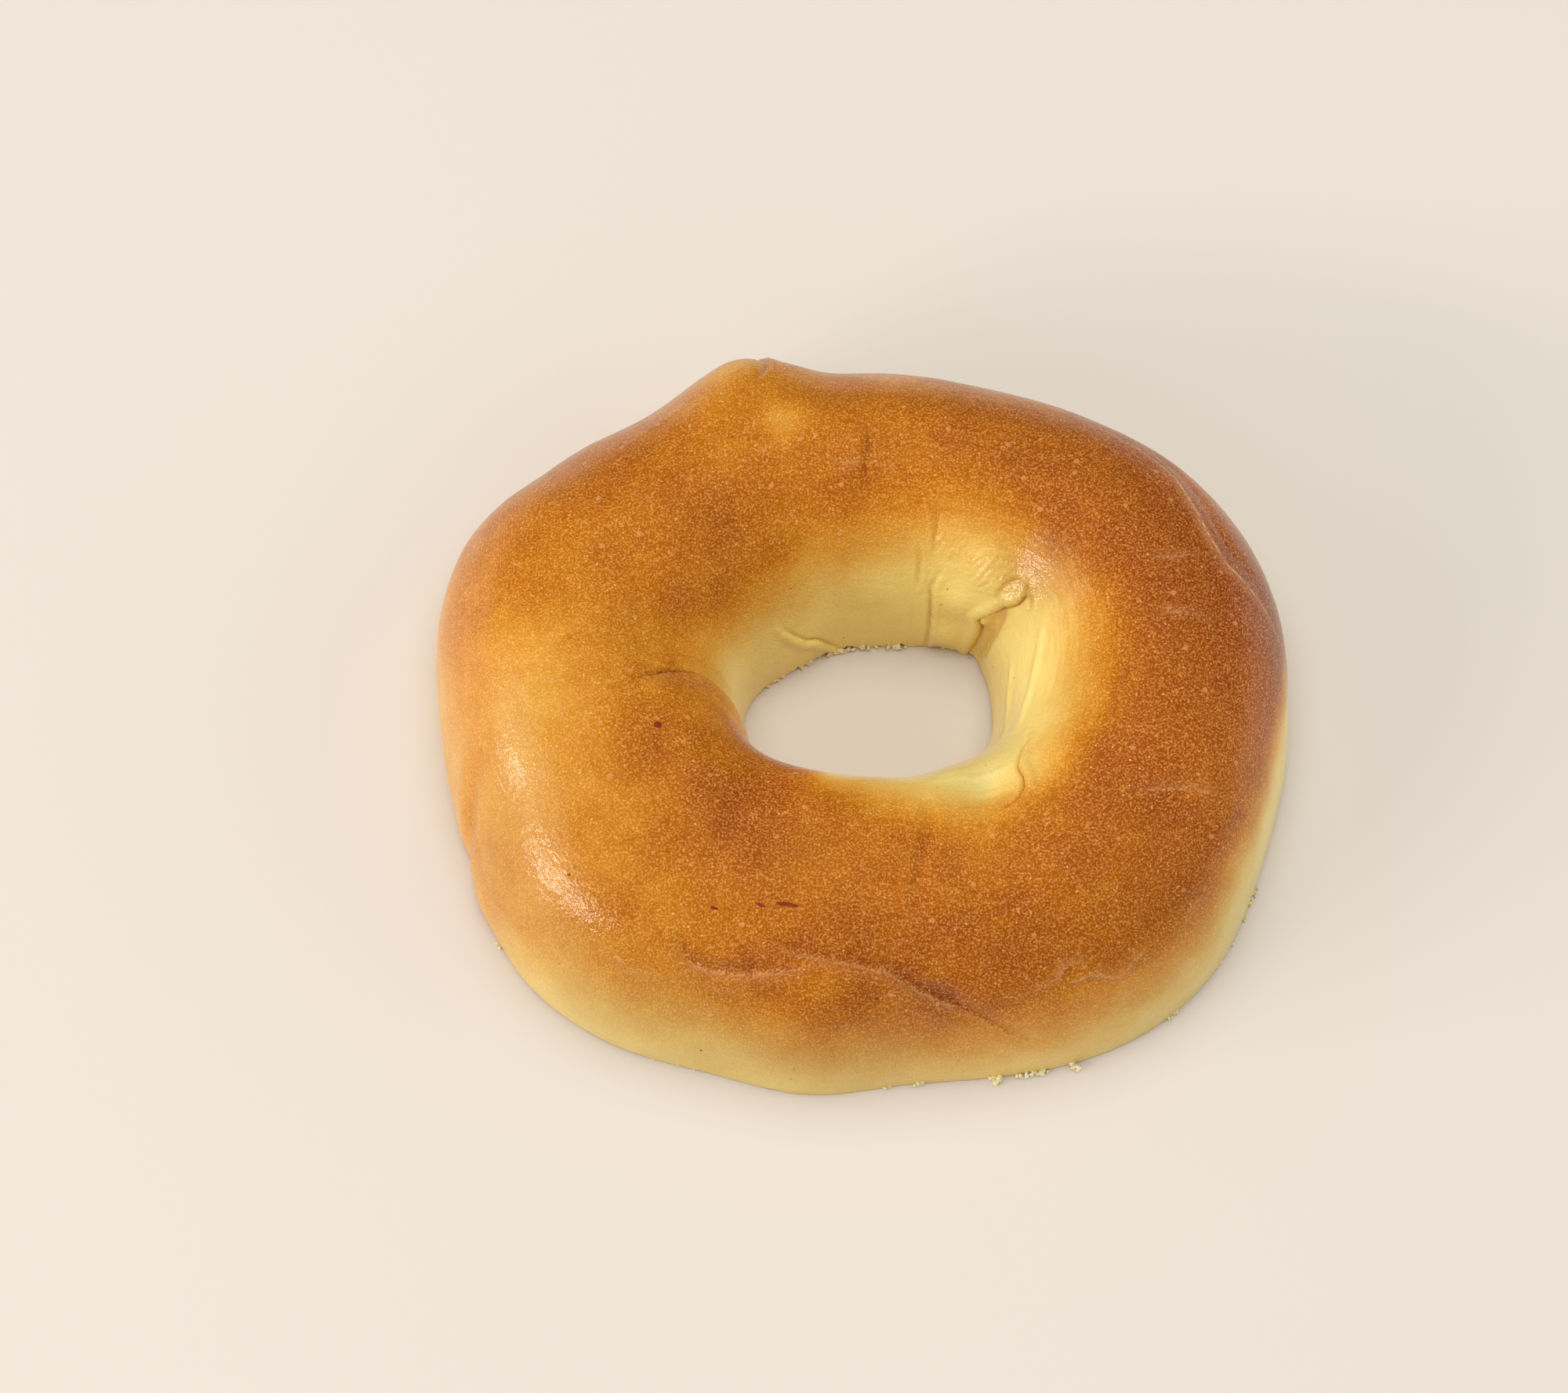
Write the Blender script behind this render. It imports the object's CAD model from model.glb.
# %% [markdown]
# # Half of a ring-shaped challah roll
# The real thing is one rope of egg dough, closed into a ring, brushed with egg and baked on a
# tray. A knife has split it level, and this is the upper half, lying on its cut face.
# The lesson builds it in the order a baker would see it: the shape of the dough, its folds, how
# the oven browned it, the crust as a material, the open crumb underneath, and the torn crumbs
# that hang from the rim. Every length in the first part is in millimetres.

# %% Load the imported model
import math

import bmesh
import bpy
import numpy as np
from mathutils import Euler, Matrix, Quaternion, Vector, noise


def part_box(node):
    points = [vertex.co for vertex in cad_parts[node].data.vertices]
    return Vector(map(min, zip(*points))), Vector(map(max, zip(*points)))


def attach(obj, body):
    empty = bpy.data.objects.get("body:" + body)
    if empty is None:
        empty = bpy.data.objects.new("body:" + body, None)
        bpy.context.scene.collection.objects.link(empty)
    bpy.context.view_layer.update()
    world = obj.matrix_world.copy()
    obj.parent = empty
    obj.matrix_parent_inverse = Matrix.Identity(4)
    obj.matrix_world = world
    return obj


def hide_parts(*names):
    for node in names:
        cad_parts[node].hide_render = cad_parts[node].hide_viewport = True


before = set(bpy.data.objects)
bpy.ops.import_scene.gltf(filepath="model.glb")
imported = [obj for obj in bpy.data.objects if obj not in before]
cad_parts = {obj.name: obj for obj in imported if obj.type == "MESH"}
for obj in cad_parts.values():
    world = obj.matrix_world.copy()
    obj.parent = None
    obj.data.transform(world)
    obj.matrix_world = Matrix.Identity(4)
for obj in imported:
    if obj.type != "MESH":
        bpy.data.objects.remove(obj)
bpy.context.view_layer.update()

NODE = "challah_half"
node_low, node_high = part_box(NODE)
node_size = (node_high - node_low) * 1000.0
print(f"the solid is {node_size.x:.1f} x {node_size.y:.1f} x {node_size.z:.1f} mm")

# %% [markdown]
# ## The dough ring
# A ring can be made from a torus, but a torus has one round section everywhere. This dough rose
# unevenly: the flank is full, the wall into the hole is a wide funnel at the back and right, and
# nearly upright at the front. So the ring is lofted: one section is worked out for each bearing
# round the hole, and each section is two quarter superellipses that meet on the crest.
# A place on the ring then has two coordinates, a bearing in degrees from +X through +Y, and a
# share from 0 at the outer cut edge, over the crest, to 1 at the hole's cut edge.

# %% Driving sizes, in millimetres
HALF_WIDTH = 57.5
HALF_DEPTH = 51.0
CREST_HEIGHT = 26.5
HOLE_HALF_WIDTH = 17.4
HOLE_HALF_DEPTH = 12.4
HOLE_CENTRE = (0.6, 0.4)
HOLE_SQUARENESS = 2.3
OUTER_FULLNESS = 2.15
INNER_FULLNESS = 1.75
CREST_SHARE = 0.5
CRUST_THICKNESS = 1.0

# Each swelling is a bell curve round the ring: bearing, spread in degrees, amount.
OUTER_SWELLINGS = (
    (26, 19, 4.0), (110, 8, 4.3), (155, 15, 5.5), (225, 17, 5.1), (261, 8, 2.3), (313, 19, 5.4),
    (97, 4, -.8), (144, 4, -.8), (202, 4, -.8),
)
HOLE_SWELLINGS = ((38, 14, 2.5), (140, 20, -1.5), (318, 14, -1.4))
HEIGHT_SWELLINGS = ((30, 40, .6), (186, 26, 1.4), (110, 12, .8), (225, 20, -.6), (290, 25, -.8))
CREST_SHIFTS = ((262, 50, -.1), (45, 50, .03))
WALL_STEEPNESS = ((255, 50, 1.1),)
TUCK_DEPTH = 1.2
TUCK_HEIGHT = 6.0
TUCK = ((168, 22, 1.0),)


def bells(bearings, swellings):
    """Sum of soft swellings round the ring, at the given bearings."""
    total = np.zeros_like(bearings, dtype=float)
    for centre, spread, amount in swellings:
        away = (bearings - centre + 180.0) % 360.0 - 180.0
        total += amount * np.exp(-0.5 * (away / spread) ** 2)
    return total


def outer_radius(bearings):
    """Radius of the outer cut edge."""
    turn = np.radians(bearings)
    ellipse = 1.0 / np.hypot(np.cos(turn) / HALF_WIDTH, np.sin(turn) / HALF_DEPTH)
    return ellipse + bells(bearings, OUTER_SWELLINGS)


def hole_radius(bearings):
    """Radius of the hole's cut edge."""
    turn = np.radians(bearings)
    across = np.abs(np.cos(turn) / HOLE_HALF_WIDTH) ** HOLE_SQUARENESS
    along = np.abs(np.sin(turn) / HOLE_HALF_DEPTH) ** HOLE_SQUARENESS
    shift = HOLE_CENTRE[0] * np.cos(turn) + HOLE_CENTRE[1] * np.sin(turn)
    return (across + along) ** (-1.0 / HOLE_SQUARENESS) + shift + bells(bearings, HOLE_SWELLINGS)


# %% One section of the ring
QUARTER_STEPS = 200


def section(bearing, shares, inset=0.0):
    """Points over the ring at one bearing. An inset moves them that far under the surface."""
    one = np.array([float(bearing)])
    outer, hole = outer_radius(one)[0] - inset, hole_radius(one)[0] + inset
    height = CREST_HEIGHT + bells(one, HEIGHT_SWELLINGS)[0] - inset
    crest = hole + (outer - hole) * (CREST_SHARE + bells(one, CREST_SHIFTS)[0])
    inner_fullness = INNER_FULLNESS + bells(one, WALL_STEEPNESS)[0]

    quarter = np.linspace(0.0, math.pi / 2.0, QUARTER_STEPS)
    flank_r = crest + (outer - crest) * np.cos(quarter) ** (2.0 / OUTER_FULLNESS)
    flank_z = height * np.sin(quarter) ** (2.0 / OUTER_FULLNESS)
    wall_r = crest - (crest - hole) * np.sin(quarter) ** (2.0 / inner_fullness)
    wall_z = height * np.cos(quarter) ** (2.0 / inner_fullness)
    tuck = TUCK_DEPTH * bells(one, TUCK)[0]
    flank_r = flank_r - tuck * np.clip(1.0 - flank_z / TUCK_HEIGHT, 0.0, 1.0) ** 2

    radius = np.concatenate((flank_r, wall_r[1:]))
    level = np.concatenate((flank_z, wall_z[1:]))
    travelled = np.concatenate(((0.0,), np.cumsum(np.hypot(np.diff(radius), np.diff(level)))))
    wanted = np.asarray(shares) * travelled[-1]
    radius, level = np.interp(wanted, travelled, radius), np.interp(wanted, travelled, level)
    turn = math.radians(bearing)
    return np.stack((radius * math.cos(turn), radius * math.sin(turn), level), axis=-1)


def normals_of(grid):
    """Unit normals of a grid that closes on itself round the ring."""
    normals = np.cross(np.roll(grid, -1, axis=0) - np.roll(grid, 1, axis=0), np.gradient(grid, axis=1))
    return normals / np.maximum(np.linalg.norm(normals, axis=-1, keepdims=True), 1e-9)


# %% The plain skin as a grid
BEARING_STEPS = 512
SKIN_POINTS = 176
bearings = np.arange(BEARING_STEPS) * 360.0 / BEARING_STEPS

# The wall into the hole carries the finest folds, so it gets more of the points.
WALL_STARTS = 0.57
WALL_CROWDING = 1.7
even = np.linspace(0.0, 1.0, 400)
density = np.where(even > WALL_STARTS, WALL_CROWDING, 1.0)
shares = np.interp(np.linspace(0.0, 1.0, SKIN_POINTS), np.cumsum(density) / density.sum(), even)
shares[0], shares[-1] = 0.0, 1.0
plain = np.array([section(bearing, shares) for bearing in bearings])
plain_normals = normals_of(plain)
print(f"plain skin: {plain.shape[0]} x {plain.shape[1]} points, crest {plain[..., 2].max():.1f} mm high")

# %% [markdown]
# ## Folds and swellings
# Dough keeps a record of how it was handled. A swelling is a soft bump, a hollow is the same
# with a minus sign, and a crease is a groove that follows a short path over the skin. Where one
# roll of dough laps over another, one side of the crease is raised into a lip and leans over the
# groove. All of them are made by one function that measures how far each point lies from the
# path and on which side, so they stay sharp however coarse the path's own points are.

# %% Swellings and hollows: bearing, share, radius, height
BULGES = (
    (184, .37, 10.0, .9), (109, .3, 6.0, .8), (334, .38, 6.0, -.7), (350, .62, 7.0, .6),
    (128, .6, 8.0, -.5), (214, .3, 9.0, .3), (20, .6, 9.0, .4), (140, .94, 5.0, .6), (48, .94, 3.0, 1.3),
    (48, .84, 3.0, 1.2), (44, .76, 4.0, .9), (38, .775, 2.0, .3), (311, .65, 4.0, -1.6),
    (333, .62, 4.5, .6), (36, .82, 1.6, .4), (36, .87, .8, .6), (308, .72, 2.2, .5), (206, .04, 5.0, .8),
    (112, .27, 3.0, .3), (100, .3, 4.0, .3),
)


def bulge(points, bearing, share, radius, height):
    """Height that one swelling adds at every point."""
    away = np.linalg.norm(points - section(bearing, (share,))[0], axis=-1)
    return height * np.exp(-((away / radius) ** 2))


def patchwork(points, patches):
    """Sum of soft patches, each like one swelling, at every point."""
    return sum(bulge(points, *patch) for patch in patches)


# %% Creases
CREASES = []


def fold(path, half_width, depth, lip=0.0, lean=0.0, browner=0.0, paler=0.0, sharp=0.0, cracked=0.0):
    """Note one crease along a path of (bearing, share) corners. Its left side can rise into a lip,
    lean over the groove and be browner, and its right side can be paler. Sharp is how dark its fine
    line is, and cracked is how clearly the glaze has cracked pale along the lip."""
    CREASES.append((path, half_width, depth, lip, lean, browner, paler, sharp, cracked))


# %% Folds inside the hole
# the left lip, lapping over the wall into the hole
fold(((199, .98), (194, .93), (189, .876), (187, .843), (185.5, .816), (184, .779), (183, .742),
      (183, .709), (184, .682), (185.5, .635), (186.5, .605)),
     .5, 1.15, lip=.85, lean=1.0, browner=.04, paler=.22, sharp=.9, cracked=.3)
# the finger's right edge, running on under the tongue
fold(((38.5, 1.0), (37, .95), (37, .9), (38.3, .88), (39.5, .862), (38, .845), (36, .832),
      (34.8, .815), (33.4, .795), (31.5, .782), (30, .768), (29.6, .75), (30.8, .73)),
     .4, 1.0, lip=.55, lean=.8, sharp=.6)
# the pocket between it and the right wall
fold(((35, 1.0), (34, .94), (33.4, .88), (33.2, .83), (33, .8)), 1.15, 1.5)
fold(((30.2, .95), (30.6, .88), (31.8, .83), (32.8, .8)), .4, .35)
# the finger's left edge and two lines beside it
fold(((58, .77), (59.5, .81), (58, .835), (56.5, .87), (55.4, .91), (55.2, .95), (55, 1.0)),
     .4, .45, lip=.45, lean=.3, sharp=.4)
fold(((68.5, .72), (66.8, .75), (65.6, .78), (65, .81)), .35, .28, lip=.12, sharp=.3)
fold(((67, .63), (65, .67), (64, .7), (63, .73)), .35, .28, lip=-.15, sharp=.2)
# knots of skin at the tongue's root
fold(((34.5, .8), (36.8, .775), (36.5, .745), (34, .725)), .35, .22, lip=.08, sharp=.3)
fold(((29.5, .75), (28, .735), (26.5, .74), (25, .75)), .35, .3, lip=.15, sharp=.3)
# thin web of dough at the hole's back left
fold(((103, .995), (112, .96), (119, .93), (126, .915), (131, .89), (136, .86)), .45, .4,
     lip=.6, lean=.5, sharp=.2)
# short upright crease at the back
fold(((90, .6), (89.3, .55), (88.8, .51), (89.3, .48)), .6, .2, lip=.16, sharp=.2)
fold(((85, .548), (92, .545), (99, .547)), .5, -.06, cracked=.3)

# %% Folds across the front
# the two lips of the long fold
fold(((296, .11), (292, .15), (287.5, .205), (283.5, .237), (280, .262), (277, .29), (274, .315),
      (267.5, .336), (261, .35), (255, .353)), 1.05, .62, lip=.42, lean=.15, sharp=.16, cracked=.4)
fold(((258, .325), (252, .3), (246, .284), (241.5, .284), (238.5, .31)), .95, .48,
     lip=.36, sharp=.1, cracked=.45)
fold(((238, .25), (234, .242), (230, .25)), .5, .1, lip=.1, cracked=.3)
fold(((285, .23), (283, .255), (279.5, .285)), 1.5, .4)
# grooves that run out of the hole at the front
fold(((291.5, .63), (290, .592), (284.5, .528), (282, .485), (280.5, .42)), .95, .42,
     lip=.16, browner=.05)
fold(((231, .6), (235, .505), (236.5, .458), (238.5, .405)), 1.4, .24)
fold(((306.5, .418), (301.5, .415), (297, .428), (292, .448), (289, .465)), .6, .26,
     lip=.14, sharp=.18)
fold(((299, .395), (293, .4), (288, .41)), .6, .2, lip=.08, sharp=.12)
# pale cracks in the glaze at the front right
fold(((294.5, .231), (298.5, .241), (300.5, .247), (302, .231), (305, .231), (308, .201), (310, .211),
      (312, .221), (313.5, .227)), .4, .1, lip=.1, cracked=.5)
fold(((300.5, .25), (302, .268), (304.5, .261)), .4, .08, lip=.08, cracked=.4)
fold(((325.5, .237), (323, .246), (321, .24)), .4, .2, lip=.12, sharp=.2, cracked=.4)

# %% Folds and ridges on the right
# rim of the dimple at the front right
fold(((334, .69), (328, .67), (323.5, .65), (321, .62), (318.5, .6), (315, .588), (311, .585)),
     .4, .85, lip=.5, lean=.6, browner=.06, sharp=.4)
fold(((303, .6), (307, .545), (309, .5)), .6, .15)
# webs of skin inside the dimple
fold(((299, .66), (306, .655), (313, .64), (318, .62)), .45, -.18)
fold(((301, .7), (309, .7), (317, .685), (323, .67)), .5, -.2)
# glossy ridges down the right wall
fold(((20, .72), (14, .745), (5, .765), (-8, .78), (-18, .765)), .75, -.34)
fold(((16, .845), (8, .86), (0, .865), (-10, .845), (-22, .8)), .7, -.3)
# ridge beside the dent on the right
fold(((331, .44), (334, .4), (336, .36), (338.5, .3)), .6, -.16, cracked=.3)
fold(((329, .42), (331.5, .36), (334, .3)), 1.4, .26)
# faint breaks in the glaze on the right
fold(((6.5, .49), (7, .462), (6, .425)), .35, .04, cracked=.45)
fold(((18.5, .482), (17.5, .445), (17.5, .405)), .35, .04, cracked=.35)
# seam on the right, towards the back
fold(((8, .185), (11, .235), (14, .29), (17, .338), (22, .35), (27, .345), (33, .328), (40, .325),
      (48, .32)), .5, .12, lip=.24, cracked=1.0)
fold(((14, .25), (19, .315), (25, .318), (32, .298), (40, .292)), 1.1, .32)

# %% Folds at the back left and on the left flank
# the knuckle and its lines
fold(((107.2, .2), (106.8, .26), (106.3, .3), (107, .34), (109, .37)), .6, .6, lip=.3, sharp=.2)
fold(((120, .31), (128, .325), (136, .35)), .5, -.12)
fold(((121.5, .448), (115.5, .492), (109, .515)), .55, .14, lip=.08, sharp=.15)
fold(((120, .445), (118, .428), (112, .425)), .55, .12, lip=.06)
# pinch on the left flank, with a ridge beside it
fold(((200, .02), (199, .12), (194, .24)), 1.6, .6, lip=.3)
fold(((202.5, .02), (202, .1), (199, .19)), .6, -.22, cracked=.5)
fold(((176, .5), (178, .47), (181, .455)), .45, .14, lip=.1, sharp=.2)
fold(((185, .37), (188, .38), (191, .375)), .55, .16, lip=.1)

# %% What a crease does to the skin
GROOVE_BROWNING = 0.13
CREASE_SAMPLES = 90


def trace(path):
    """The path's points on the plain skin, evenly spread between its corners."""
    stations = np.linspace(0.0, len(path) - 1.0, CREASE_SAMPLES)
    turns = np.interp(stations, range(len(path)), [corner[0] for corner in path])
    overs = np.interp(stations, range(len(path)), [corner[1] for corner in path])
    line = np.array([section(turn, (over,))[0] for turn, over in zip(turns, overs)])
    smooth = line.copy()
    smooth[2:-2] = (line[:-4] + line[1:-3] + line[2:-2] + line[3:-1] + line[4:]) / 5.0
    return smooth


def across(points, normals, line, reach):
    """For the points near a line: which they are, how far to its left, and how far along it."""
    near = np.flatnonzero(((points > line.min(0) - reach) & (points < line.max(0) + reach)).all(axis=1))
    heading = np.gradient(line, axis=0)
    heading /= np.linalg.norm(heading, axis=1, keepdims=True)
    distance = np.linalg.norm(points[near, None, :] - line[None, :, :], axis=2)
    nearest = distance.argmin(axis=1)
    leftward = np.cross(normals[near], heading[nearest])
    leftward /= np.maximum(np.linalg.norm(leftward, axis=1, keepdims=True), 1e-9)
    side = ((points[near] - line[nearest]) * leftward).sum(axis=1)
    away = distance.min(axis=1) * np.where(side < 0.0, -1.0, 1.0)
    return near, away, nearest / (len(line) - 1.0), leftward


def crease(points, normals, path, half_width, depth, lip, lean, browner, paler):
    """What one crease does to the points near it: their shift, down into the groove and over at the
    lip, their change of colour, their distance to its left, and how far it has faded there."""
    line = trace(path)
    coloured_reach = 6.0 * (browner != 0.0 or paler != 0.0)
    near, away, along, leftward = across(points, normals, line, 6.0 * half_width + coloured_reach)
    fade = np.sin(math.pi * np.clip(along, 0.02, 0.98)) ** 0.4
    # the lip is highest 1.6 half widths beside the groove's middle, and leans over most at 0.9
    groove = depth * np.exp(-((away / half_width) ** 2))
    raised = lip * np.exp(-(((away - 1.6 * half_width) / (1.5 * half_width)) ** 2)) * (away > 0.0)
    pushed = lean * np.exp(-(((away - 0.9 * half_width) / (1.1 * half_width)) ** 2)) * (away > 0.0)
    moved = normals[near] * (fade * (raised - groove))[:, None] - leftward * (fade * pushed)[:, None]
    left_side = np.clip((away + 0.2) / 0.25, 0.0, 1.0) * np.exp(-np.abs(away) / 2.2)
    right_side = np.clip((-away - 0.4) / 0.8, 0.0, 1.0) * np.exp(-np.abs(away) / 3.0)
    colour = fade * (browner * left_side - paler * right_side + GROOVE_BROWNING * groove)
    return near, moved, colour, away, fade


# %% [markdown]
# ## Uneven skin
# Under the folds the whole skin is slightly uneven, at three sizes: broad ones of a centimetre
# from the rise, ones of a few millimetres from the bubbles under the skin, and fine wrinkles
# where the skin was pulled into the hole. They are made as real shape, from smooth noise.

# %% Noise over the skin
def noise_at(points, size, seed):
    """Smooth noise between -1 and 1, with lumps of about the given size."""
    offset = Vector((seed * 17.3, seed * 5.1, seed * 9.7))
    values = [noise.noise(Vector(point) / size + offset) for point in points.tolist()]
    return np.array(values)


def wrinkles(points, path, reach, spacing, height, seed):
    """Fine ripples that run beside a path and fade out away from it."""
    line = trace(path)
    near, away, along, _ = across(points, skin_normals, line, reach * 2.0)
    wander = noise_at(points[near], 3.0, seed)
    ripple = np.cos(math.tau * (away / spacing + 0.9 * wander))
    strength = np.exp(-((away / reach) ** 2)) * np.sin(math.pi * np.clip(along, 0.03, 0.97)) ** 0.5
    return near, height * ripple * strength * (0.6 + 0.4 * noise_at(points[near], 1.6, seed + 1))


WRINKLES = (
    # path, reach, spacing, height
    (((43, .7), (43.5, .745), (44, .785)), 2.2, .95, .2),
    (((54, .69), (55, .72), (56, .755)), 1.2, .8, .15),
    (((63, .66), (62, .7), (61.5, .73)), 1.0, .9, .14),
    (((16, .7), (22, .69), (30, .7)), 1.8, .9, .15),
    (((5, .6), (20, .615), (36, .6)), 2.6, 1.0, .05),
    (((36, .36), (60, .365), (92, .355)), 2.0, .9, .06),
    (((330, .66), (340, .68), (352, .69)), 2.0, 1.1, .08),
    (((300, .55), (310, .54), (322, .55)), 1.6, 1.2, .09),
    (((297, .61), (308, .6), (320, .61)), 1.8, 1.0, .09),
)

# what makes the whole skin uneven: height, size of the lumps, seed
UNEVENNESS = ((.26, 13.0, 1), (.05, 4.0, 2), (.008, 1.3, 3))
FAR_FROM_SEAM = 3.0
skin_points = plain.reshape(-1, 3)
skin_normals = plain_normals.reshape(-1, 3)
shift = np.zeros_like(skin_points)
lift = patchwork(skin_points, BULGES)
crease_colour = np.zeros(len(skin_points))
seam_side = np.full(len(skin_points), FAR_FROM_SEAM)
seam_sharp = np.zeros(len(skin_points))
seam_cracked = np.zeros(len(skin_points))
for *values, sharp, cracked in CREASES:
    near, moved, colour, away, fade = crease(skin_points, skin_normals, *values)
    shift[near] += moved
    crease_colour[near] += colour
    nearest = (sharp + cracked > 0.0) & (np.abs(away) < np.abs(seam_side[near]))
    seam_side[near[nearest]] = away[nearest]
    seam_sharp[near[nearest]] = sharp * fade[nearest]
    seam_cracked[near[nearest]] = cracked * fade[nearest]
for seed, (path, reach, spacing, height) in enumerate(WRINKLES):
    near, ripple = wrinkles(skin_points, path, reach, spacing, height, 40 + seed)
    lift[near] += ripple
for height, size, seed in UNEVENNESS:
    lift += height * noise_at(skin_points, size, seed)
skin_points = skin_points + shift + skin_normals * lift[:, None]
skin = skin_points.reshape(BEARING_STEPS, SKIN_POINTS, 3)
print(f"folds move the skin by up to {np.abs(shift).max():.1f} mm")

# %% Settle the skin on its cut plane
skin[:, :, 2] = np.maximum(skin[:, :, 2], 0.0)
RIM_ROWS, HOLE_ROWS = 4, 6  # rows of points that the tear lifts


def torn(points, large, small, seed):
    """How high the knife left the cut edge, 0 to 1 mm, in tears of two sizes."""
    return np.clip(0.25 + 0.9 * noise_at(points, large, seed) + 0.6 * noise_at(points, small, seed + 1),
                   0.0, 1.0)


tear = 0.7 * torn(plain[:, 0], 1.4, 0.6, 21)
# the knife tore the crust furthest at the back of the hole
hole_tear = torn(plain[:, -1], 1.3, 0.5, 23) * (0.6 + 0.9 * bells(bearings, ((95, 38, 1.0),)))
skin[:, 0, 2] = tear
skin[:, -1, 2] = hole_tear
skin[:, :RIM_ROWS, 2] = np.maximum(skin[:, :RIM_ROWS, 2], tear[:, None])
skin[:, -HOLE_ROWS:, 2] = np.maximum(skin[:, -HOLE_ROWS:, 2], hole_tear[:, None])
middle = (plain.min(axis=(0, 1)) + plain.max(axis=(0, 1))) / 2.0
skin[:, :, :2] -= middle[:2]

# %% [markdown]
# ## How the oven browned it
# Browning follows height and exposure: the crest is nearest the oven's roof, the sides by the
# tray and the walls of the hole stay the colour of the egg dough. On this roll the left flank
# took colour right down, and the right and the back are darkest. The amount is one number per
# point, 0 for pale dough and 1 for deep brown, kept on the mesh as an attribute named browning.

# %% Values that change round the ring
def smoothstep(low, high, value):
    """0 below low, 1 above high, and a soft step between."""
    t = np.clip((value - low) / (high - low), 0.0, 1.0)
    return t * t * (3.0 - 2.0 * t)


def round_the_ring(turns, chosen, blur=18):
    """A smooth curve round the ring through a few chosen (bearing, value) pairs."""
    degrees = np.arange(360)
    values = np.interp(degrees, [c[0] for c in chosen], [c[1] for c in chosen], period=360)
    window = np.hanning(blur + 2)[1:-1]
    padded = np.concatenate((values[-blur:], values, values[:blur]))
    smooth = np.convolve(padded, window / window.sum(), mode="same")[blur:-blur]
    return np.interp(turns, degrees, smooth, period=360)


# %% Where the colour starts and ends
turns = np.repeat(bearings, SKIN_POINTS)
overs = np.tile(shares, BEARING_STEPS)
flat_plain = plain.reshape(-1, 3)
wander = 0.012 * noise_at(flat_plain, 9.0, 5) + 0.004 * noise_at(flat_plain, 2.0, 6)

# On the flank the colour starts and is full at these shares. On the wall into the hole it is half
# gone at INNER_MIDDLE, and INNER_HALF is how far it takes to fade on either side of that.
OUTER_START = (
    (0, .07), (12, -.06), (24, .06), (36, .1), (60, .08), (90, .05), (130, -.08), (150, -.1), (165, -.15),
    (180, -.15), (190, -.28), (205, -.3), (213, -.13), (222, .0), (255, .04), (272, -.03), (285, -.02),
    (300, -.01), (320, .04), (332, .1), (345, .09),
)
OUTER_END = (
    (0, .23), (12, .2), (30, .25), (90, .27), (130, .2), (150, .25), (180, .28), (200, .23), (225, .3),
    (245, .31), (280, .27), (305, .31), (335, .27), (348, .25),
)
INNER_MIDDLE = (
    (0, .655), (20, .655), (34, .69), (46, .67), (60, .67), (80, .72), (100, .75), (120, .78), (150, .8),
    (170, .78), (190, .835), (205, .98), (218, .97), (228, .87), (236, .79), (250, .705), (270, .685),
    (290, .645), (310, .6), (330, .62), (350, .645),
)
INNER_HALF = (
    (0, .15), (40, .13), (80, .14), (120, .12), (160, .1), (190, .14), (210, .12), (235, .085),
    (250, .07), (270, .105), (290, .14), (310, .09), (330, .11), (350, .155),
)
rise = smoothstep(round_the_ring(turns, OUTER_START), round_the_ring(turns, OUTER_END), overs + wander)
middle_of_fall = round_the_ring(turns, INNER_MIDDLE, 10)
half_of_fall = round_the_ring(turns, INNER_HALF, 10)
fall = 1.0 - smoothstep(middle_of_fall - half_of_fall, middle_of_fall + half_of_fall, overs + wander)

# %% How brown it gets between them
OUTER_BROWN = (
    (0, .94), (30, .96), (60, .84), (90, .71), (110, .62), (130, .76), (150, .77), (165, .68), (180, .49),
    (192, .42), (205, .5), (215, .53), (225, .62), (240, .72), (260, .82), (290, .85), (310, .83),
    (330, .87), (345, .85),
)
INNER_BROWN = (
    (0, .86), (30, .9), (60, .83), (90, .75), (120, .73), (150, .78), (170, .71), (185, .67), (200, .75),
    (215, .81), (232, .91), (250, .81), (270, .75), (290, .74), (310, .78), (330, .88),
)
OUTER_PALE = (
    (0, -.25), (20, -.2), (45, .0), (180, .05), (203, .2), (220, .0), (245, .06), (270, .06), (300, .06),
    (316, .04), (330, -.06), (345, -.15),
)
INNER_PALE = (
    (0, -.16), (30, -.05), (60, -.03), (120, .0), (150, -.02), (180, .0), (200, .1), (240, -.06),
    (300, -.1), (330, -.12),
)
inner_side = smoothstep(0.36, 0.58, overs)


def both_sides(outer, inner):
    """Values for the flank and for the hole's wall, blended over the crest."""
    return round_the_ring(turns, outer) * (1.0 - inner_side) + round_the_ring(turns, inner) * inner_side


brown = both_sides(OUTER_BROWN, INNER_BROWN)
pale = both_sides(OUTER_PALE, INNER_PALE)

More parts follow.
